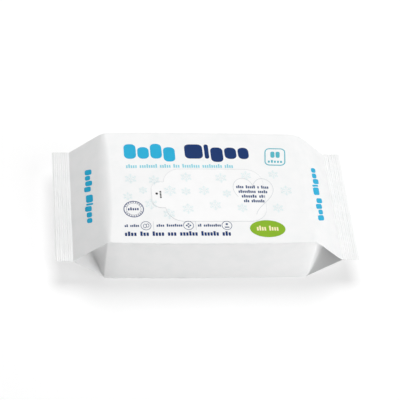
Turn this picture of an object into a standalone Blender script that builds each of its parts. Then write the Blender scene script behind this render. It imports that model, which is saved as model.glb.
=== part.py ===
"""A sealed flow pack of moist wipes, lying flat, with a resealable label stuck on its top.

X runs along the pack from one crimped end seal to the other, -Y is the front long side and
+Z is up. The origin is on the table, under the middle of the pack. Lengths are in metres.
"""

import math

import bmesh
import bpy

MM = 0.001

# Driving dimensions: the stack of folded wipes inside its film
BLOCK_LENGTH = 154.0 * MM
BLOCK_WIDTH = 104.0 * MM
BLOCK_HEIGHT = 44.0 * MM
TOP_CROWN = 1.5 * MM  # how far the top swells above its edges
SIDE_BULGE = 2.9 * MM  # how far the long sides swell, low down at the middle
BULGE_LOST_BY_TOP = 0.35  # share of the swell that is gone at the top edge
TOP_EDGE_RADIUS = 2.5 * MM
BOTTOM_EDGE_RADIUS = 2.0 * MM
CREASE_SOFTNESS = 4.0 * MM  # rounding of the crease between the top and an end panel

# Driving dimensions: the folded ends
PANEL_RUN = 24.3 * MM  # along X, from the stack's end to the seal
GUSSET_REACH = 15.1 * MM  # along X, from the stack's end to the tip of the tucked triangle
GUSSET_DEPTH = 22.0 * MM  # how far the side film is tucked in
FLAP_LIP = 0.3 * MM  # a folded flap's edge
FOLD_RADIUS = 0.12 * MM
VALLEY_HALF_GAP = 0.3 * MM  # the tucked fold is pressed flat to about this
POCKET_END = 0.985  # fraction of the panel's run where the tucked fold is sealed shut

# Driving dimensions: the crimped end seals and the fin seal along the underside
SEAL_HEIGHT = 21.0 * MM
SEAL_WIDTH = 13.1 * MM
SEAL_LENGTH = 103.0 * MM
SEAL_THICKNESS = 0.6 * MM
SEAL_MARGIN = 0.55 * MM  # plain strip on each side of the crimps
CRIMPS = 6
CRIMP_RISE = 0.35 * MM
FIN_FROM = -3.0 * MM
FIN_TO = 9.0 * MM
FIN_THICKNESS = 0.45 * MM
FIN_THICKNESS_IN_SEAL = 0.2 * MM
CHANNEL_DEPTH = 0.6 * MM  # the hollow that the fin presses into the underside
CHANNEL_MARGIN = 4.0 * MM

# Driving dimensions: the resealable label
LABEL_LEFT = -33.0 * MM
LABEL_RIGHT = 43.0 * MM
LABEL_WIDTH = 49.0 * MM
LABEL_CENTRE_Y = -8.4 * MM
LABEL_CORNER = 13.0 * MM
TAB_LENGTH = 9.8 * MM
TAB_WIDTH = 24.4 * MM
TAB_ROUNDING = 10.2 * MM  # the tab's rounded end would close at this distance
LABEL_THICKNESS = 0.2 * MM
LABEL_GAP = 0.3 * MM

# How finely the curved surfaces are cut
TOP_STEPS = 8
ARC_STEPS = 3
LABEL_ROWS = 6


def mix(a, b, t):
    return a + (b - a) * t


def spaced(first, last, steps):
    return [mix(first, last, i / steps) for i in range(steps + 1)]


# ---- The pack's cross-section at any place along X ----


def end_fraction(x):
    """0 over the stack of wipes, rising to 1 where the end panels meet in the seal."""
    return min(max((abs(x) - BLOCK_LENGTH / 2) / PANEL_RUN, 0.0), 1.0)


def crimp(x):
    """Height of the seal's zigzag above its middle plane."""
    into_crimps = abs(x) - BLOCK_LENGTH / 2 - PANEL_RUN - SEAL_MARGIN
    ridge = into_crimps * CRIMPS / (SEAL_WIDTH - 2 * SEAL_MARGIN)
    if not 0 <= ridge <= CRIMPS:
        return 0.0
    return CRIMP_RISE * (1 - abs(2 * (ridge % 1.0) - 1))


def top_height(x, y):
    """The upper film: a low crown over the wipes, then an end panel down to the seal."""
    along = min(abs(x) / (BLOCK_LENGTH / 2), 1.0)
    across = min(abs(y) / (BLOCK_WIDTH / 2), 1.0)
    crown = TOP_CROWN * (1 - along**2) * (1 - across**2)
    past = abs(x) - BLOCK_LENGTH / 2
    softness = CREASE_SOFTNESS * (1 - across**4) + FOLD_RADIUS
    fallen = min((past + math.hypot(past, softness)) / 2 / PANEL_RUN, 1.0)
    seal_top = SEAL_HEIGHT + SEAL_THICKNESS / 2
    return mix(BLOCK_HEIGHT + crown, seal_top, fallen) + crimp(x)


def bottom_height(x):
    seal_bottom = SEAL_HEIGHT - SEAL_THICKNESS / 2
    return mix(0.0, seal_bottom, end_fraction(x)) + crimp(x)


def bulge(x, z):
    """How far a long side swells past the block's nominal width."""
    along = min(abs(x) / (BLOCK_LENGTH / 2), 1.0)
    up = z / BLOCK_HEIGHT
    return SIDE_BULGE * (1 - along**3) * (1 - BULGE_LOST_BY_TOP * up**2)


def edge_radius(x, full):
    """Long edges are round along the wipes and pinch to a sharp fold at the corners."""
    along = min(abs(x) / (BLOCK_LENGTH / 2), 1.0)
    return mix(full, FOLD_RADIUS, along**6)


def side_wall(x, half, z_top, z_bottom):
    """Five points down one long side: a plain wall, or the tucked-in gusset of an end."""
    t = end_fraction(x)
    if t == 0 or t > POCKET_END:
        return [(half + bulge(x, z), z) for z in spaced(z_top, z_bottom, 6)[1:-1]]
    tuck = min(t * PANEL_RUN / GUSSET_REACH, 1.0)
    valley = half - GUSSET_DEPTH * tuck
    upper = mix(BLOCK_HEIGHT - FLAP_LIP, SEAL_HEIGHT + VALLEY_HALF_GAP, tuck)
    lower = mix(FLAP_LIP, SEAL_HEIGHT - VALLEY_HALF_GAP, tuck)
    return [
        (half, z_top - FLAP_LIP),
        (valley, upper),
        (valley, (upper + lower) / 2),
        (valley, lower),
        (half, z_bottom + FLAP_LIP),
    ]


def long_side(x):
    """One long side as (distance from the middle, height), from the top film to the bottom."""
    half = mix(BLOCK_WIDTH, SEAL_LENGTH, end_fraction(x)) / 2
    r_top = edge_radius(x, TOP_EDGE_RADIUS)
    r_bottom = edge_radius(x, BOTTOM_EDGE_RADIUS)
    z_top = top_height(x, half - r_top) - r_top
    z_bottom = bottom_height(x) + r_bottom
    y_top = half + bulge(x, z_top) - r_top
    y_bottom = half + bulge(x, z_bottom) - r_bottom
    turn = spaced(0.0, math.pi / 2, ARC_STEPS)
    upper_edge = [(y_top + r_top * math.sin(a), z_top + r_top * math.cos(a)) for a in turn]
    lower_edge = [
        (y_bottom + r_bottom * math.cos(a), z_bottom - r_bottom * math.sin(a)) for a in turn
    ]
    return upper_edge + side_wall(x, half, z_top, z_bottom) + lower_edge


def underside(x):
    """The bottom film between its long edges, with the fin seal folded flat in its channel."""
    t = end_fraction(x)
    film = bottom_height(x)
    roof = film + CHANNEL_DEPTH * (1 - t)
    fin = roof - mix(FIN_THICKNESS, FIN_THICKNESS_IN_SEAL, t)
    return [
        (FIN_TO + CHANNEL_MARGIN, film),
        (FIN_TO, roof),
        (FIN_TO, fin),
        (FIN_FROM, fin),
        (FIN_FROM, roof),
        (FIN_FROM - CHANNEL_MARGIN, film),
    ]


def cross_section(x):
    """The closed outline at x, as (y, z) points with the same count everywhere."""
    rear = long_side(x)
    front = [(-y, z) for y, z in reversed(rear)]
    reach = rear[0][0]
    top = [(y, top_height(x, y)) for y in spaced(-reach, reach, TOP_STEPS)[1:-1]]
    return top + rear + underside(x) + front


def stations():
    """Places along X where the section is cut: creases, gusset tips and every crimp."""
    half = BLOCK_LENGTH / 2
    block = [half * f for f in (0.0, 0.2, 0.4, 0.6, 0.78, 0.9, 0.96, 1.0)]
    tip = GUSSET_REACH / PANEL_RUN
    panel = [half + PANEL_RUN * t for t in (0.04, 0.12, 0.3, tip, 0.82, POCKET_END, 1.0)]
    seal = half + PANEL_RUN
    crimps = spaced(seal + SEAL_MARGIN, seal + SEAL_WIDTH - SEAL_MARGIN, 2 * CRIMPS)
    right = block + panel + crimps + [seal + SEAL_WIDTH]
    return [-x for x in reversed(right[1:])] + right


# ---- The resealable label ----


def label_half_width(x):
    """Half the label's width at x: a finger tab that runs into a round-cornered rectangle."""
    from_tab = max(LABEL_LEFT - x, 0.0) / TAB_ROUNDING
    tab = TAB_WIDTH / 2 * (1 - from_tab**3) ** (1 / 3)
    from_end = min(x - LABEL_LEFT, LABEL_RIGHT - x)
    if from_end < 0:
        return tab
    into_corner = max(LABEL_CORNER - from_end, 0.0)
    corner = LABEL_CORNER - math.sqrt(LABEL_CORNER**2 - into_corner**2)
    body = LABEL_WIDTH / 2 - corner
    is_tab_end = x < LABEL_LEFT + LABEL_CORNER
    return max(body, tab) if is_tab_end else body


def label_columns():
    """Places along X where the label is cut, closer together round its corners."""
    tab = [LABEL_LEFT - TAB_LENGTH * f for f in (1.0, 0.95, 0.85, 0.65, 0.35, 0.0)]
    quarter = spaced(0.0, math.pi / 2, 6)
    corner = [LABEL_CORNER * (1 - math.cos(a)) for a in quarter][1:]
    left = [LABEL_LEFT + c for c in corner]
    right = [LABEL_RIGHT - c for c in reversed(corner)]
    middle = spaced(left[-1], right[0], 4)[1:-1]
    return tab + left + middle + right + [LABEL_RIGHT]


def label_section(x):
    """The label's closed outline at x, lying just above the crowned top film."""
    half = label_half_width(x)
    ys = spaced(LABEL_CENTRE_Y - half, LABEL_CENTRE_Y + half, LABEL_ROWS)
    lower = [(y, top_height(x, y) + LABEL_GAP) for y in ys]
    upper = [(y, z + LABEL_THICKNESS) for y, z in lower]
    return upper + lower[::-1]


# ---- Solids ----


def plastic(name, colour, roughness):
    """A plain plastic material."""
    material = bpy.data.materials.new(name)
    material.use_nodes = True
    shader = material.node_tree.nodes["Principled BSDF"]
    shader.inputs["Base Color"].default_value = colour
    shader.inputs["Roughness"].default_value = roughness
    shader.inputs["Metallic"].default_value = 0.0
    return material


def lofted(name, places, section, material):
    """A closed solid through the outlines that section gives at places along X."""
    mesh = bpy.data.meshes.new(name)
    bm = bmesh.new()
    rings = [[bm.verts.new((x, y, z)) for y, z in section(x)] for x in places]
    for ring, following in zip(rings, rings[1:]):
        for i, vertex in enumerate(ring):
            bm.faces.new((ring[i - 1], vertex, following[i], following[i - 1]))
    bm.faces.new(rings[0])
    bm.faces.new(rings[-1])
    bmesh.ops.recalc_face_normals(bm, faces=bm.faces)
    bm.to_mesh(mesh)
    bm.free()
    mesh.materials.append(material)
    solid = bpy.data.objects.new(name, mesh)
    bpy.context.scene.collection.objects.link(solid)
    return solid


for old in list(bpy.data.objects):
    bpy.data.objects.remove(old)

printed_film = plastic("printed_film", (0.93, 0.93, 0.93, 1.0), 0.35)
label_film = plastic("label_film", (0.95, 0.96, 0.96, 1.0), 0.25)
lofted("film_pack", stations(), cross_section, printed_film)
lofted("resealable_label", label_columns(), label_section, label_film)
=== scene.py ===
import math

import bmesh
import bpy
from mathutils import Matrix, Vector, noise


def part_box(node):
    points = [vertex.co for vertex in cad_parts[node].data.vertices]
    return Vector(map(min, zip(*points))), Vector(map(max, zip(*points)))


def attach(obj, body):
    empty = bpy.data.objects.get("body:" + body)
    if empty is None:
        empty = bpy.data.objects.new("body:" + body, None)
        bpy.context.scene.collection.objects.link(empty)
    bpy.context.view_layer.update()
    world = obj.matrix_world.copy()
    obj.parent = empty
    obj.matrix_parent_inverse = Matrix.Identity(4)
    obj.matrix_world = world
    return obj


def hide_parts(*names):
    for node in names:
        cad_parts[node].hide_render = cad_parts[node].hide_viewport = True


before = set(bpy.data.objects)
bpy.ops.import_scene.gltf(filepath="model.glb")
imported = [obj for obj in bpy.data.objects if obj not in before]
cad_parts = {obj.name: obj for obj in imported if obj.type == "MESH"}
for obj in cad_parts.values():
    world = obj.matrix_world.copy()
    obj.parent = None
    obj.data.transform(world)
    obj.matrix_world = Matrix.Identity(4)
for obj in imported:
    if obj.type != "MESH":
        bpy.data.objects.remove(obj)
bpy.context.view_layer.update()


# ============================================================ The film bag
# One web of white laminate, 12 micron printed polyester on 60 micron polyethylene. It is
# formed round the stack of folded wipes, tucked in at its four corners as gussets, and
# heat-sealed flat between crimping jaws at both ends. The wipes keep it a rounded brick.

mm = 0.001
bag_low, bag_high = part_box("film_pack")

# Each end: a sloping panel runs from the block to a flat seal.
PANEL_RUN = 24.3 * mm
SEAL_WIDTH = 13.1 * mm
SEAL_HALF_Y = 51.5 * mm
SEAL_MIDDLE = 21.0 * mm
SEAL_THICKNESS = 0.35 * mm
SEAL_MARGIN = 0.55 * mm
CRIMPS = 8  # 1.5 mm apart, coarser than the real 1 mm, so that they can be seen
CRIMP_RISE = 0.32 * mm
GROOVE_SHARPNESS = 6
SHALLOW_GROOVE = 0.55  # the depth of every second groove against the others

# The block over the wipes, with its swollen sides.
SIDE_BULGE = 1.9 * mm
CORNER_BULGE = 1.0 * mm  # lost over the last stretch before each upright corner
CORNER_STRETCH = 10 * mm
BULGE_LOST_BY_TOP = 0.35
BLOCK_HALF_X = bag_high[0] - SEAL_WIDTH - PANEL_RUN
BLOCK_HALF_Y = (bag_high[1] - bag_low[1]) / 2 - SIDE_BULGE - CORNER_BULGE
TOP_CROWN = 1.5 * mm
TOP_LIFT = 0.1 * mm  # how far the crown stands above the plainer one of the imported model
BLOCK_TOP = bag_high[2] - bag_low[2] - TOP_CROWN + TOP_LIFT
TOP_EDGE_RADIUS = 1.4 * mm
BOTTOM_EDGE_RADIUS = 4.0 * mm
FRONT_LEAN = 1.1 * mm  # how far the front leans back by its top edge

# How far the top film's bend reaches either side of its crease.
CREASE_SOFTNESS = 5.2 * mm
FRONT_CREASE_SOFTNESS = 1.6 * mm
REAR_LEFT_CREASE_SOFTNESS = 3.0 * mm
REAR_RIGHT_CREASE_SOFTNESS = 6.0 * mm

# The gussets: past each upright corner the side film folds in as two flaps and a valley.
GUSSET_REACH = 15.1 * mm
GUSSET_DEPTH = 22.0 * mm
CORNER_EASE = 0.12  # how slowly the side film turns in round an upright corner
FOLD_RADIUS = 0.12 * mm
UPPER_FOLD_REACH = 1.5 * mm
LOWER_FOLD_REACH = 7.0 * mm
FOLD_SHARE = 0.45  # the most of a flap's width that a bend may take up
FLAP_LIP = 0.25 * mm
VALLEY_HALF_GAP = 0.25 * mm
POCKET_END = 0.985  # the share of the panel after which the gusset is pressed shut

# The channel that the fin seal presses into the underside.
FIN_FROM, FIN_TO = -3.0 * mm, 9.0 * mm
CHANNEL_DEPTH = 0.6 * mm
CHANNEL_MARGIN = 4.0 * mm

# The film's unevenness: a height each, and the lengths that it changes over.
SWELL, SWELL_LENGTH, SWELL_BREADTH = 0.12 * mm, 30 * mm, 22 * mm
PLEAT, PLEAT_LENGTH, PLEAT_BREADTH = 0.9 * mm, 60 * mm, 7 * mm
RIPPLE, RIPPLE_LENGTH, RIPPLE_TALLNESS = 0.12 * mm, 26 * mm, 60 * mm
RIGHT_SAG, LEFT_SAG = 0.5 * mm, 0.12 * mm
EDGE_CALM = 0.8  # the share of the unevenness that is gone at the long edges


def mix(a, b, t):
    return a + (b - a) * t


def spaced(first, last, steps):
    return [mix(first, last, i / steps) for i in range(steps + 1)]


def clamped(value, low=0.0, high=1.0):
    return min(max(value, low), high)


def end_fraction(x):
    """0 over the wipes, rising to 1 where the end panels meet in the seal."""
    return clamped((abs(x) - BLOCK_HALF_X) / PANEL_RUN)


def crimp(x):
    """Height of the ridges the jaws press into a seal: every second groove is the deeper."""
    into = abs(x) - BLOCK_HALF_X - PANEL_RUN - SEAL_MARGIN
    ridge = into * CRIMPS / (SEAL_WIDTH - 2 * SEAL_MARGIN)
    if not 0 <= ridge <= CRIMPS:
        return 0.0
    groove = math.cos(math.pi * ridge) ** GROOVE_SHARPNESS
    return CRIMP_RISE * (1 - groove * (1.0 if round(ridge) % 2 == 0 else SHALLOW_GROOVE))


def slack(x, y):
    """The film's small unevenness: long soft swells, and pleats where a seal gathers it."""
    t = end_fraction(x)
    swell = SWELL * noise.noise(Vector((x / SWELL_LENGTH, y / SWELL_BREADTH, 0.4)))
    pleat = noise.noise(Vector((x / PLEAT_LENGTH, y / PLEAT_BREADTH, 5.0)))
    sag = RIGHT_SAG if x > 0 else LEFT_SAG
    return swell + t * (1 - t) * (PLEAT * pleat + sag * math.sin(2 * math.pi * t) * 4)


def top_height(x, y):
    """The upper film: a low crown over the wipes, then an end panel down to the seal."""
    along = clamped(abs(x) / BLOCK_HALF_X)
    across = clamped(abs(y) / BLOCK_HALF_Y)
    crown = TOP_CROWN * (1 - along**2) * (1 - across**2)
    past = abs(x) - BLOCK_HALF_X
    rear_softness = REAR_RIGHT_CREASE_SOFTNESS if x > 0 else REAR_LEFT_CREASE_SOFTNESS
    soft = mix(CREASE_SOFTNESS, FRONT_CREASE_SOFTNESS if y < 0 else rear_softness, across**3)
    fallen = past if past > soft else max(past + soft, 0.0) ** 2 / (4 * soft)
    fallen = min(fallen / PANEL_RUN, 1.0)
    seal_top = SEAL_MIDDLE + SEAL_THICKNESS / 2
    calm = 1 - EDGE_CALM * across**6
    return mix(BLOCK_TOP + crown, seal_top, fallen) + crimp(x) + calm * slack(x, y)


def bottom_height(x):
    return mix(0.0, SEAL_MIDDLE - SEAL_THICKNESS / 2, end_fraction(x)) + crimp(x)


def bulge(x, z):
    """How far a long side swells past the block's nominal width."""
    along = clamped(abs(x) / BLOCK_HALF_X)
    corner = clamped((abs(x) - BLOCK_HALF_X + CORNER_STRETCH) / CORNER_STRETCH)
    plan = SIDE_BULGE * (1 - along**3) + CORNER_BULGE * (1 - corner**2)
    swell = plan * (1 - BULGE_LOST_BY_TOP * (z / BLOCK_TOP) ** 2)
    ripple = noise.noise(Vector((x / RIPPLE_LENGTH, z / RIPPLE_TALLNESS, 9.0)))
    return swell + RIPPLE * ripple * (1 - along**4)


def edge_radius(x, full):
    """A long edge's radius: full in the middle, drawn out to a fold at the upright corners."""
    along = clamped(abs(x) / BLOCK_HALF_X)
    return mix(full, FOLD_RADIUS, along**6)


def segment(start, end, steps):
    return [(mix(start[0], end[0], f), mix(start[1], end[1], f)) for f in spaced(0, 1, steps)]


def soft_fold(before, corner, after, reach, steps):
    """A fold as film makes it: the corner eased into a bend that starts reach away from it."""
    lead, trail = math.dist(before, corner), math.dist(corner, after)
    reach = min(reach, FOLD_SHARE * lead, FOLD_SHARE * trail)
    enter = (mix(corner[0], before[0], reach / lead), mix(corner[1], before[1], reach / lead))
    leave = (mix(corner[0], after[0], reach / trail), mix(corner[1], after[1], reach / trail))
    first, second = segment(enter, corner, steps), segment(corner, leave, steps)
    return [segment(a, b, steps)[i] for i, (a, b) in enumerate(zip(first, second))]


def side_wall(x, half, z_top, z_bottom):
    """25 points down a long side: a plain wall, or the tucked gusset with its two flaps."""
    t = end_fraction(x)
    if t == 0 or t > POCKET_END:
        return [(half + bulge(x, z), z) for z in spaced(z_top, z_bottom, 26)[1:-1]]
    tuck = min(t * PANEL_RUN / GUSSET_REACH, 1.0)
    valley = half - GUSSET_DEPTH * (1 + CORNER_EASE) * tuck**2 / (tuck + CORNER_EASE)
    upper = mix(BLOCK_TOP - FLAP_LIP, SEAL_MIDDLE + VALLEY_HALF_GAP, tuck)
    lower = mix(FLAP_LIP, SEAL_MIDDLE - VALLEY_HALF_GAP, tuck)
    under_panel, over_bottom = (half, z_top - FLAP_LIP), (half, z_bottom + FLAP_LIP)
    high, low = (valley, upper), (valley, lower)
    upper_fold = soft_fold(under_panel, high, low, UPPER_FOLD_REACH, 5)
    lower_fold = soft_fold(high, low, over_bottom, LOWER_FOLD_REACH, 6)
    upper_flap = segment(under_panel, upper_fold[0], 5)[:-1]
    pocket_end = segment(upper_fold[-1], lower_fold[0], 4)[1:-1]
    lower_flap = segment(lower_fold[-1], over_bottom, 4)[1:]
    return upper_flap + upper_fold + pocket_end + lower_fold + lower_flap


def long_side(x):
    """One long side as (distance from the middle, height), from the top film to the bottom."""
    half = mix(BLOCK_HALF_Y, SEAL_HALF_Y, end_fraction(x))
    r_top = edge_radius(x, TOP_EDGE_RADIUS)
    r_bottom = edge_radius(x, BOTTOM_EDGE_RADIUS)
    z_top = top_height(x, half - r_top) - r_top
    z_bottom = bottom_height(x) + r_bottom
    y_top = half + bulge(x, z_top) - r_top
    y_bottom = half + bulge(x, z_bottom) - r_bottom
    upper_edge, lower_edge = [], []
    for a in spaced(0.0, math.pi / 2, 6):
        upper_edge.append((y_top + r_top * math.sin(a), z_top + r_top * math.cos(a)))
        lower_edge.append((y_bottom + r_bottom * math.cos(a), z_bottom - r_bottom * math.sin(a)))
    return upper_edge + side_wall(x, half, z_top, z_bottom) + lower_edge


def underside(x, reach):
    """The bottom film, with the shallow channel that the fin seal presses into it."""
    film = bottom_height(x)
    roof = film + CHANNEL_DEPTH * (1 - end_fraction(x))
    rear = [(y, film) for y in spaced(reach, FIN_TO + CHANNEL_MARGIN, 8)[1:]]
    channel = [(y, roof) for y in spaced(FIN_TO, FIN_FROM, 4)]
    front = [(y, film) for y in spaced(FIN_FROM - CHANNEL_MARGIN, -reach, 8)[:-1]]
    return rear + channel + front


def bag_section(x):
    """The bag's outline at x, closed, with its front leaning back."""
    rear = long_side(x)
    front = [(-y, z) for y, z in reversed(rear)]
    reach = rear[0][0]
    top = [(y, top_height(x, y)) for y in spaced(-reach, reach, 56)[1:-1]]
    lean = FRONT_LEAN * (1 - end_fraction(x))
    outline = []
    for y, z in top + rear + underside(x, rear[-1][0]) + front:
        frontness = clamped(-y / BLOCK_HALF_Y) ** 8
        outline.append((y + lean * frontness * clamped(z / BLOCK_TOP), z))
    return outline


def bag_stations():
    """Where the bag is cut along X, closer together at the creases and over the crimps."""
    block = spaced(0.0, BLOCK_HALF_X - 8 * mm, 34)
    upright_corner = spaced(BLOCK_HALF_X - 7.5 * mm, BLOCK_HALF_X, 15)
    tip = GUSSET_REACH / PANEL_RUN
    fractions = [0.012, 0.03] + spaced(0.05, tip, 11) + spaced(tip, POCKET_END, 8)[1:] + [1.0]
    panel = [BLOCK_HALF_X + PANEL_RUN * t for t in fractions]
    seal = BLOCK_HALF_X + PANEL_RUN
    crimps = spaced(seal + SEAL_MARGIN, seal + SEAL_WIDTH - SEAL_MARGIN, 10 * CRIMPS)
    right = block + upright_corner + panel + crimps + [seal + SEAL_WIDTH]
    return [-x for x in reversed(right[1:])] + right


def lofted(places, section):
    """A closed skin through the outlines that section gives at places along X."""
    bm = bmesh.new()
    rings = [[bm.verts.new((x, y, z)) for y, z in section(x)] for x in places]
    for ring, following in zip(rings, rings[1:]):
        for i, vertex in enumerate(ring):
            bm.faces.new((ring[i - 1], vertex, following[i], following[i - 1]))
    bm.faces.new(rings[0])
    bm.faces.new(rings[-1])
    return bm


def linked_mesh(name, bm, material):
    """Turns a bmesh into an object in the scene, shaded smooth but for its sharp folds."""
    bmesh.ops.recalc_face_normals(bm, faces=bm.faces)
    mesh = bpy.data.meshes.new(name)
    bm.to_mesh(mesh)
    bm.free()
    mesh.shade_smooth()
    mesh.set_sharp_from_angle(angle=math.radians(50))
    mesh.materials.append(material)
    piece = bpy.data.objects.new(name, mesh)
    bpy.context.scene.collection.objects.link(piece)
    return piece


def srgb(code):
    """A colour's hex code as linear values."""
    parts = [int(code[i : i + 2], 16) / 255 for i in (1, 3, 5)]
    return [p / 12.92 if p <= 0.04045 else ((p + 0.055) / 1.055) ** 2.4 for p in parts] + [1.0]


def node(tree, kind, settings, **links):
    """Adds a node, sets its inputs, and links other nodes' outputs into its inputs."""
    made = tree.nodes.new(kind)
    for key, value in settings.items():
        made.inputs[key].default_value = value
    for key, source in links.items():
        tree.links.new(source, made.inputs[key])
    return made


CLOUD_SIZE = 11 * mm
PEEL_GRAIN, PEEL_DEPTH = 1.3 * mm, 0.03 * mm
SOFT_CREASE, SOFT_CREASE_DEPTH = 16 * mm, 0.4 * mm


def film_material(name, tint, shaded, roughness, gloss):
    """Film over a white layer: an even colour with a faint cloudiness, satin from its matt
    face, with an orange-peel grain and long soft creases that catch the light."""
    material = bpy.data.materials.new(name)
    material.use_nodes = True
    tree = material.node_tree
    shader = tree.nodes["Principled BSDF"]
    shader.inputs["IOR"].default_value = 1.5
    shader.inputs["Specular IOR Level"].default_value = gloss
    place = node(tree, "ShaderNodeTexCoord", {}).outputs["Object"]

    settings = {"Scale": 1 / CLOUD_SIZE, "Detail": 3.0}
    clouds = node(tree, "ShaderNodeTexNoise", settings, Vector=place).outputs["Fac"]
    ramp = node(tree, "ShaderNodeValToRGB", {}, Fac=clouds)
    dark, light = ramp.color_ramp.elements
    dark.position, dark.color = 0.3, srgb(shaded)
    light.position, light.color = 0.6, srgb(tint)
    tree.links.new(ramp.outputs["Color"], shader.inputs["Base Color"])
    settings = {"To Min": roughness - 0.05, "To Max": roughness + 0.05}
    worn = node(tree, "ShaderNodeMapRange", settings, Value=clouds)
    tree.links.new(worn.outputs["Result"], shader.inputs["Roughness"])

    settings = {"Scale": 1 / PEEL_GRAIN, "Detail": 2.0}
    peel = node(tree, "ShaderNodeTexNoise", settings, Vector=place).outputs["Fac"]
    settings = {"Scale": 1 / SOFT_CREASE, "Detail": 1.5, "Distortion": 0.6}
    creases = node(tree, "ShaderNodeTexNoise", settings, Vector=place).outputs["Fac"]
    settings = {"Strength": 0.12, "Distance": PEEL_DEPTH}
    fine = node(tree, "ShaderNodeBump", settings, Height=peel).outputs["Normal"]
    settings = {"Strength": 0.25, "Distance": SOFT_CREASE_DEPTH}
    soft = node(tree, "ShaderNodeBump", settings, Height=creases, Normal=fine).outputs["Normal"]
    tree.links.new(soft, shader.inputs["Normal"])
    return material


# Polyethylene laminate with a matt outer web: a clean white whose shine is broad and dim.
white_laminate = film_material("white_pe_laminate", "#EAEAEA", "#E6E7E7", 0.48, 0.3)
bag = linked_mesh("film_bag", lofted(bag_stations(), bag_section), white_laminate)
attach(bag, "root")
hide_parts("film_pack")


# ============================================================ The fin seal
# The web's two long edges, sealed face to face between fluted wheels and folded flat along
# the underside. The strip runs the whole length and is caught in both end seals.

FIN_THICKNESS = 0.3 * mm
FIN_OVERLAP = 0.05 * mm  # how deep the strip sits in the channel's roof
FIN_FLUTE = 3.0 * mm  # drawn coarser than the real 1.2 mm so that the flutes can be seen
FIN_FLUTE_RISE = 0.12 * mm
FIN_EDGE_WANDER, FIN_WANDER_LENGTH = 0.35 * mm, 18 * mm
FIN_CAUGHT = 2 * mm  # how much of the strip lies in each end seal


def fin_section(x):
    """The strip at x: two webs thick, hanging just under the channel's roof."""
    t = end_fraction(x)
    roof = bottom_height(x) + CHANNEL_DEPTH * (1 - t) + FIN_OVERLAP
    flute = FIN_FLUTE_RISE * math.sin(2 * math.pi * x / FIN_FLUTE) * (1 - t)
    edge = FIN_TO + FIN_EDGE_WANDER * noise.noise(Vector((x / FIN_WANDER_LENGTH, 0.0, 2.0)))
    upper, under = [], []
    for across in spaced(0, 1, 6):
        y = mix(FIN_FROM, edge, across)
        upper.append((y, roof))
        under.append((y, roof - FIN_THICKNESS + flute * math.sin(math.pi * across)))
    return upper + under[::-1]


fin_reach = BLOCK_HALF_X + PANEL_RUN + FIN_CAUGHT
fin = linked_mesh("fin_seal", lofted(spaced(-fin_reach, fin_reach, 520), fin_section), white_laminate)
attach(fin, "root")


# ============================================================ The reseal label
# A 0.1 mm polypropylene sticker over the die-cut opening in the top film. It peels back by
# the finger tab at its left end and presses down again. The shade along its edge is painted
# on as a thin grey line.

LABEL_LEFT, LABEL_RIGHT = -33.0 * mm, 43.0 * mm
LABEL_WIDTH = 49.0 * mm
LABEL_CENTRE_Y = -8.4 * mm
LABEL_CORNER = 13.0 * mm
TAB_LENGTH, TAB_WIDTH, TAB_ROUNDING = 9.8 * mm, 24.4 * mm, 10.2 * mm
LABEL_LIFT = 0.02 * mm
LABEL_THICKNESS = 0.1 * mm


def label_half_width(x):
    """Half the label's width at x: a finger tab that runs into a round-cornered rectangle."""
    tab = TAB_WIDTH / 2 * (1 - (max(LABEL_LEFT - x, 0.0) / TAB_ROUNDING) ** 3) ** (1 / 3)
    from_end = min(x - LABEL_LEFT, LABEL_RIGHT - x)
    if from_end < 0:
        return tab
    into_corner = max(LABEL_CORNER - from_end, 0.0)
    body = LABEL_WIDTH / 2 - LABEL_CORNER + math.sqrt(LABEL_CORNER**2 - into_corner**2)
    return max(body, tab) if x < LABEL_LEFT + LABEL_CORNER else body


def label_columns():
    """Where the label is cut along X, closer together round its tab and corners."""
    tab = [LABEL_LEFT - TAB_LENGTH * math.sin(a) for a in spaced(math.pi / 2, 0.0, 18)]
    corner = [LABEL_CORNER * (1 - math.cos(a)) for a in spaced(0.0, math.pi / 2, 18)][1:]
    left = [LABEL_LEFT + c for c in corner]
    right = [LABEL_RIGHT - c for c in reversed(corner)]
    return tab + left + spaced(left[-1], right[0], 28)[1:-1] + right + [LABEL_RIGHT]


def label_section(x):
    """The label's outline at x, lying on the top film."""
    half = label_half_width(x)
    ys = spaced(LABEL_CENTRE_Y - half, LABEL_CENTRE_Y + half, 28)
    lower = [(y, top_height(x, y) + LABEL_LIFT) for y in ys]
    return [(y, z + LABEL_THICKNESS) for y, z in lower] + lower[::-1]


# Cast polypropylene, smoother than the bag's web, so the label is a little the brighter.
label_film = film_material("white_pp_label_film", "#EAEAEA", "#E7E7E7", 0.4, 0.3)
label = linked_mesh("reseal_label", lofted(label_columns(), label_section), label_film)
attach(label, "root")
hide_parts("resealable_label")


# ============================================================ The print
# Gravure ink on the outer web, under matt lacquer, so each colour is flat and clean-edged.
# Rows of plain blocks stand for lettering. Places on it are in millimetres from the middle.
# The grey line round the label's edge is laid the same way, but it is painted shade.

INK_TOP = 0.06 * mm
INK_TOP_ON_LABEL = LABEL_LIFT + LABEL_THICKNESS + 0.05 * mm
INK_TOP_ON_INK = 0.04 * mm  # added where one ink lies on another
INK_ROOT = 0.02 * mm  # how far the ink's unseen underside lies below the film's face
INK_CELL = 2.0 * mm  # inked shapes are cut at this pitch so that they follow the film
EDGE_SHADE_REACH = 0.3 * mm  # the label's edge line counts as lying on the label
WELD = 0.001 * mm


def rounded(x0, x1, y0, y1, radius):
    """A filled rectangle with round corners."""
    shortest_side = 0.001
    r = min(radius, (x1 - x0) / 2 - shortest_side, (y1 - y0) / 2 - shortest_side)
    left, right, foot, head = x0 + r, x1 - r, y0 + r, y1 - r
    outline = []
    for cx, cy, start in ((right, head, 0), (left, head, 90), (left, foot, 180), (right, foot, 270)):
        for step in (0, 22, 45, 68, 90):
            a = math.radians(start + step)
            outline.append((cx + r * math.cos(a), cy + r * math.sin(a)))
    return outline


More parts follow.
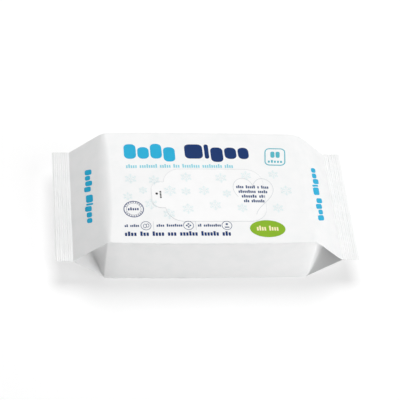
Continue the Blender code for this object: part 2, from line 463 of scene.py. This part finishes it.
def oval(cx, cy, rx, ry, steps=48):
    turns = [2 * math.pi * i / steps for i in range(steps)]
    return [(cx + rx * math.cos(a), cy + ry * math.sin(a)) for a in turns]


def band(points, width, closed=True):
    """A line of even width along points, as a run of four-sided cells."""
    count = len(points)
    edges = []
    for i, (x, y) in enumerate(points):
        before = points[(i - 1) % count] if closed or i else points[i]
        after = points[(i + 1) % count] if closed or i < count - 1 else points[i]
        dx, dy = after[0] - before[0], after[1] - before[1]
        reach = width / 2 / math.hypot(dx, dy)
        edges.append(((x - dy * reach, y + dx * reach), (x + dy * reach, y - dx * reach)))
    pairs = zip(edges, edges[1:] + edges[:1]) if closed else zip(edges, edges[1:])
    return [[a[0], a[1], b[1], b[0]] for a, b in pairs]


def ink_top(x, y):
    """How far the ink's face stands above the bag's film at (x, y), on the label or beside it."""
    if not LABEL_LEFT - TAB_LENGTH <= x <= LABEL_RIGHT:
        return INK_TOP
    on_label = abs(y - LABEL_CENTRE_Y) <= label_half_width(x) + EDGE_SHADE_REACH
    return INK_TOP_ON_LABEL if on_label else INK_TOP


def printed(name, cells, ink, extra=0.0):
    """Lays flat cells on the film as one thin closed skin of ink; the label's painted edge shade is laid
    the same way.
    """
    bm = bmesh.new()
    for cell in cells:
        bm.faces.new([bm.verts.new((x * mm, y * mm, 0)) for x, y in cell])
    bmesh.ops.remove_doubles(bm, verts=bm.verts, dist=WELD)
    for axis in (0, 1):
        reach = [v.co[axis] for v in bm.verts]
        normal = Vector((axis == 0, axis == 1, 0))
        for i in range(math.ceil(min(reach) / INK_CELL), math.floor(max(reach) / INK_CELL) + 1):
            everything = bm.verts[:] + bm.edges[:] + bm.faces[:]
            cut = normal * (i * INK_CELL)
            bmesh.ops.bisect_plane(bm, geom=everything, plane_co=cut, plane_no=normal, dist=WELD)
    faces, borders = bm.faces[:], [e for e in bm.edges if e.is_boundary]
    lower = {v: bm.verts.new(v.co) for v in bm.verts[:]}
    for face in faces:
        bm.faces.new([lower[v] for v in reversed(face.verts)])
    for edge in borders:
        a, b = edge.verts
        bm.faces.new((a, b, lower[b], lower[a]))
    for upper_vertex, lower_vertex in lower.items():
        x, y, _ = upper_vertex.co
        lower_vertex.co.z = top_height(x, y) - INK_ROOT
        upper_vertex.co.z = top_height(x, y) + ink_top(x, y) + extra
    piece = linked_mesh(name, bm, ink)
    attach(piece, "root")


def ink_material(name, tint, shaded):
    """Gravure ink under matt lacquer: a flat solid colour with hardly any shine."""
    return film_material(name, tint, shaded, 0.55, 0.12)


cyan_ink = ink_material("cyan_gravure_ink", "#24A8D0", "#22A3CB")
navy_ink = ink_material("navy_gravure_ink", "#0C3068", "#0B2D62")
pale_ink = ink_material("pale_cyan_gravure_ink", "#86CBD8", "#80C6D4")
teal_ink = ink_material("teal_gravure_ink", "#55AFBD", "#4FA9B8")
frost_ink = ink_material("frost_gravure_ink", "#D2E3E4", "#CEE0E2")
# This grey is print on the dividers and the heart, and painted shade on the line round the label's edge.
grey_ink_and_edge_shade = ink_material("grey_gravure_ink_and_edge_shade", "#C6CACD", "#C2C6CA")
slate_ink = ink_material("slate_gravure_ink", "#3C5076", "#394C71")
green_ink = ink_material("green_gravure_ink", "#84AE24", "#80A922")
cream_ink = ink_material("cream_gravure_ink", "#F0E3B4", "#ECDFAE")
black_ink = ink_material("black_gravure_ink", "#2A2A2C", "#262628")


def block_row(x0, widths, gap, foot, heights, radius):
    """Upright blocks side by side, as a row of type would stand."""
    cells, x = [], x0
    for i, width in enumerate(widths):
        drop, rise = heights[i % len(heights)]
        cells.append(rounded(x, x + width, foot - drop, foot + rise, radius))
        x += width + gap
    return cells


# The share of each step that small type leaves bare. The less of it, the bolder the type.
LIGHT, MEDIUM, STRONG, BOLD = 11 / 30, 1 / 3, 5 / 16, 4 / 15


def small_type(x0, x1, foot, height, words, bare=LIGHT):
    """A line of small blocks in word-like groups, fitted between x0 and x1."""
    count = sum(words) + len(words) - 1
    step = (x1 - x0) / count
    cells, at = [], 0
    for word in words:
        for i in range(at, at + word):
            x = x0 + i * step
            rise = height * (1.35 if i % 4 == 1 else 1.0)
            cells.append(rounded(x, x + step * (1 - bare), foot, foot + rise, 0.25))
        at += word + 1
    return cells


# The title over the label.
TITLE_FOOT, TITLE_ROUNDING = 26.6, 3.6
cyan_heights = ((0, 14.6), (0, 11.6), (0, 15.0), (3.0, 11.6))
title_cyan = block_row(-61.2, (9.2, 8.8, 8.8, 9.0), 1.1, TITLE_FOOT, cyan_heights, TITLE_ROUNDING)
printed("title_cyan_print", title_cyan, cyan_ink)
navy_heights = ((0, 14.6), (0, 14.6), (3.2, 11.6), (0, 11.6), (0, 11.6))
navy_widths = (14.0, 3.4, 9.6, 9.2, 8.4)
title_navy = block_row(-14.6, navy_widths, 1.3, TITLE_FOOT, navy_heights, TITLE_ROUNDING)
printed("title_navy_print", title_navy, navy_ink)
subtitle = small_type(-60.2, 22.0, 17.5, 2.7, (5, 8, 5, 3, 8, 9, 4), MEDIUM)
printed("subtitle_print", subtitle, pale_ink)

# The badge by the title, whose frame and blocks lean to the right about its middle.
BADGE_LEAN, BADGE_MIDDLE_Y = 0.12, 29.3
badge = band(rounded(47.8, 63.4, 21.0, 37.6, 3.4), 0.9)
badge += block_row(52.0, (3.3, 3.3), 0.8, 28.4, ((0, 6.2),), 1.4)
badge += small_type(50.0, 62.0, 23.4, 2.0, (5,))
badge = [[(x + BADGE_LEAN * (y - BADGE_MIDDLE_Y), y) for x, y in cell] for cell in badge]
printed("badge_print", badge, teal_ink)

# The bold line along the front edge.
tagline = small_type(-64.6, 14.0, -45.6, 2.9, (4, 3, 4, 3, 6, 6, 3), BOLD)
printed("tagline_print", tagline, navy_ink)

# The row of three ringed icons, each after its words, with a divider between them.
ICON_Y, ICON_LINE = -36.6, 0.4
OVALS_X, DOTS_X, BAR_X = -48.8, -17.4, 11.2
icon_words = []
for x0, x1, words in ((-64.4, -53.6, (2, 5)), (-41.0, -21.6, (4, 8)), (-10.4, 7.0, (2, 9))):
    icon_words += small_type(x0, x1, ICON_Y - 1.0, 1.8, words, BOLD)
printed("icon_words_print", icon_words, slate_ink)
icons = []
for x in (OVALS_X, DOTS_X, BAR_X):
    icons += band(oval(x, ICON_Y, 3.7, 3.7), ICON_LINE)
icons += band(oval(OVALS_X - 0.8, ICON_Y - 0.2, 1.1, 1.7, 24), ICON_LINE)
icons += band(oval(OVALS_X + 1.2, ICON_Y + 0.2, 1.0, 1.5, 24), ICON_LINE)
for x, y in oval(DOTS_X, ICON_Y, 1.3, 1.3, 4):
    icons.append(oval(x, y, 0.7, 0.7, 16))
icons.append(oval(BAR_X, ICON_Y + 1.2, 0.9, 0.9, 20))
icons.append(rounded(BAR_X - 1.8, BAR_X + 1.8, ICON_Y - 1.9, ICON_Y - 1.1, 0.4))
printed("icons_print", icons, slate_ink)
dividers = [rounded(x - 0.15, x + 0.15, ICON_Y - 4.2, ICON_Y + 3.8, 0.1) for x in (-43.2, -11.9)]
printed("dividers_print", dividers, grey_ink_and_edge_shade)

# The round stamp: two rings with a dotted arc over and under its middle line.
STAMP_X, STAMP_Y = -56.9, -21.4
STAMP_DOTS = 22
stamp = band(oval(STAMP_X, STAMP_Y, 7.2, 7.2), 0.6) + band(oval(STAMP_X, STAMP_Y, 5.4, 5.4), 0.2)
stamp += small_type(STAMP_X - 4.2, STAMP_X + 4.2, STAMP_Y - 1.1, 2.0, (5,))
for i in range(STAMP_DOTS):
    a = 2 * math.pi * (i + 0.5) / STAMP_DOTS
    if abs(math.sin(a)) > 0.35:
        x, y = STAMP_X + 6.3 * math.cos(a), STAMP_Y + 6.3 * math.sin(a)
        stamp.append(oval(x, y, 0.42, 0.42, 10))
printed("stamp_print", stamp, navy_ink)

# The green oval near the right of the front edge.
printed("green_panel_print", [oval(41.6, -39.4, 13.4, 7.6, 64)], green_ink)
panel_marks = small_type(33.4, 50.2, -41.2, 3.2, (4, 4), STRONG)
printed("panel_marks_print", panel_marks, cream_ink, INK_TOP_ON_INK)


def snowflake(cx, cy, radius):
    """Six arms with two pairs of short twigs each."""
    cells = []
    for arm in range(6):
        a = math.radians(60 * arm + 30)
        ux, uy = math.cos(a), math.sin(a)
        cells += band([(cx + ux * radius * f, cy + uy * radius * f) for f in (0.12, 1.0)], 0.34, False)
        for along, twig in ((0.45, 0.34), (0.72, 0.24)):
            for b in (a - math.radians(60), a + math.radians(60)):
                root = (cx + ux * radius * along, cy + uy * radius * along)
                first = (root[0] + math.cos(b) * 0.25, root[1] + math.sin(b) * 0.25)
                tip = (root[0] + math.cos(b) * radius * twig, root[1] + math.sin(b) * radius * twig)
                cells += band([first, tip], 0.3, False)
    return cells


# Each snowflake's middle and the length of its arms.
snow_places = (
    (-57.5, 7.0, 4.8), (-40.0, 5.6, 4.6), (-48.9, -4.0, 3.4), (-60.5, -9.5, 3.8), (-15.5, 8.2, 4.6),
    (-28.7, -4.8, 5.0), (-16.7, -5.4, 3.8), (-3.0, -4.6, 4.4), (14.2, -7.3, 3.6), (11.0, 7.6, 4.8),
    (30.5, 10.2, 4.4), (52.0, 11.6, 4.2), (60.2, -3.6, 5.0), (-43.6, -17.0, 5.0), (-30.9, -26.2, 4.8),
    (-16.4, -21.6, 4.8), (4.3, -18.2, 4.8), (24.6, -20.6, 4.2), (51.8, -20.4, 4.4),
)
snow = [cell for place in snow_places for cell in snowflake(*place)]
printed("snowflakes_print", snow, frost_ink)

# The heart outline, left open on one side, with its four lines of words.
HEART_X, HEART_Y = 34.8, -9.6
heart_line = []
for degrees in range(-112, 181, 4):
    a = math.radians(degrees)
    rise = 13 * math.cos(a) - 5 * math.cos(2 * a) - 2 * math.cos(3 * a) - math.cos(4 * a)
    heart_line.append((HEART_X + 15.4 * math.sin(a) ** 3, HEART_Y + 1.18 * (rise + 2.5)))
printed("heart_print", band(heart_line, 0.35, False), grey_ink_and_edge_shade)
WORDS_X = 34.4
heart_rows = ((12.6, -2.2, (4, 5, 1, 4)), (11.2, -6.6, (9, 5)), (9.2, -11.0, (7, 3)), (8.0, -15.4, (3, 7)))
heart_words = []
for half, foot, words in heart_rows:
    heart_words += small_type(WORDS_X - half, WORDS_X + half, foot, 2.1, words, BOLD)
printed("heart_words_print", heart_words, slate_ink)

# The marks on the finger tab, and the painted shade line round the label's edge.
tab_marks = [oval(-38.9, -7.4, 1.0, 1.0, 16)]
tab_marks += [rounded(-36.7, -35.4, y, y + 1.0, 0.3) for y in (-11.6, -10.2, -8.8, -7.4, -6.0)]
printed("tab_marks_print", tab_marks, black_ink)
rear_edge = [(x, LABEL_CENTRE_Y + label_half_width(x)) for x in label_columns()]
front_edge = [(x, LABEL_CENTRE_Y - label_half_width(x)) for x in reversed(label_columns())]
painted_edge_shade = [(x / mm, y / mm) for x, y in rear_edge + front_edge]
printed("label_edge_painted_shade", band(painted_edge_shade, 0.17), grey_ink_and_edge_shade)


def side_words(foot, start, stretch, tallness, lean, facing):
    """The title again, small, running along an end panel with its foot towards the seal."""
    tall, low, deep = (0, 6.4), (0, 4.9), (1.3, 4.9)
    cells = block_row(0, (4.6, 4.2, 4.4, 4.4), 0.7, 0, (tall, low, tall, deep), 1.5)
    cells += block_row(22.6, (6.8, 1.8, 4.6, 4.4, 4.2), 0.7, 0, (tall, tall, deep, low, low), 1.5)
    words = []
    for cell in cells:
        placed = [(along * stretch + start, up * tallness) for along, up in cell]
        words.append([(foot - facing * up, facing * along - lean * up) for along, up in placed])
    return words


printed("left_words_print", side_words(-90.6, -25.5, 1.06, 0.76, 0.5, -1), cyan_ink)
printed("right_words_print", side_words(89.5, -22.75, 1.08, 1.03, 0.78, 1), cyan_ink)


# ============================================================ The studio
# A table top of matt opal acrylic, lit softly from below, so that it reads as plain white.
# Five soft boxes: the rear one whitens the top film, those from the right light the front and
# the right end, and the weaker left one leaves the left end grey.

TABLE_HALF = 3.0
floor_mesh = bpy.data.meshes.new("table_top")
corners = [(x * TABLE_HALF, y * TABLE_HALF, 0) for x, y in ((-1, -1), (1, -1), (1, 1), (-1, 1))]
floor_mesh.from_pydata(corners, [], [(0, 1, 2, 3)])
floor = bpy.data.objects.new("table_top", floor_mesh)
opal_acrylic = bpy.data.materials.new("matt_opal_acrylic")
opal_acrylic.use_nodes = True
table_shader = opal_acrylic.node_tree.nodes["Principled BSDF"]
table_shader.inputs["Base Color"].default_value = srgb("#BCBCBC")
table_shader.inputs["Roughness"].default_value = 0.9
table_shader.inputs["Emission Color"].default_value = srgb("#FFFFFF")
table_shader.inputs["Emission Strength"].default_value = 0.48
floor_mesh.materials.append(opal_acrylic)
bpy.context.scene.collection.objects.link(floor)

# No light comes from the room: only the soft boxes and the table's own glow.
world = bpy.data.worlds.new("studio")
bpy.context.scene.world = world
world.use_nodes = True
world.node_tree.nodes["Background"].inputs["Strength"].default_value = 0.0
bpy.context.scene.view_settings.view_transform = "Standard"


def direction(azimuth, elevation):
    """The way from the pack to a light or the camera: azimuth 0 is in front, 90 on the right."""
    a, e = math.radians(azimuth), math.radians(elevation)
    return Vector((math.sin(a) * math.cos(e), -math.cos(a) * math.cos(e), math.sin(e)))


LIGHT_DISTANCE = 1.6


def soft_light(name, azimuth, elevation, size, power):
    """A square soft box aimed at the pack."""
    away = direction(azimuth, elevation)
    data = bpy.data.lights.new(name, "AREA")
    data.size = size
    data.energy = power
    lamp = bpy.data.objects.new(name, data)
    lamp.location = away * LIGHT_DISTANCE
    lamp.rotation_euler = away.to_track_quat("Z", "Y").to_euler()
    bpy.context.scene.collection.objects.link(lamp)


soft_light("key", 60, 40, 0.9, 7.6)
soft_light("low_right", 60, 15, 0.6, 2.4)
soft_light("low_front", 35, 8, 0.35, 9.6)
soft_light("left", -90, 45, 0.8, 4.4)
soft_light("rear", 180, 65, 1.0, 22.6)

CAMERA_AZIMUTH, CAMERA_ELEVATION, CAMERA_ROLL = -13.91, 51.54, 11.08
CAMERA_DISTANCE = 1.0397
CAMERA_TARGET = Vector((-2.4, 4.6, 22.0)) * mm
camera_data = bpy.data.cameras.new("camera")
camera_data.lens = 121.9
camera_data.sensor_width = 36.0
camera = bpy.data.objects.new("camera", camera_data)
backward = direction(CAMERA_AZIMUTH, CAMERA_ELEVATION)
level = Vector((0, 0, 1)).cross(backward).normalized()
sideways = Matrix.Rotation(math.radians(CAMERA_ROLL), 3, backward) @ level
placed = Matrix((sideways, backward.cross(sideways), backward)).transposed().to_4x4()
placed.translation = CAMERA_TARGET + backward * CAMERA_DISTANCE
camera.matrix_world = placed
bpy.context.scene.collection.objects.link(camera)
bpy.context.scene.camera = camera
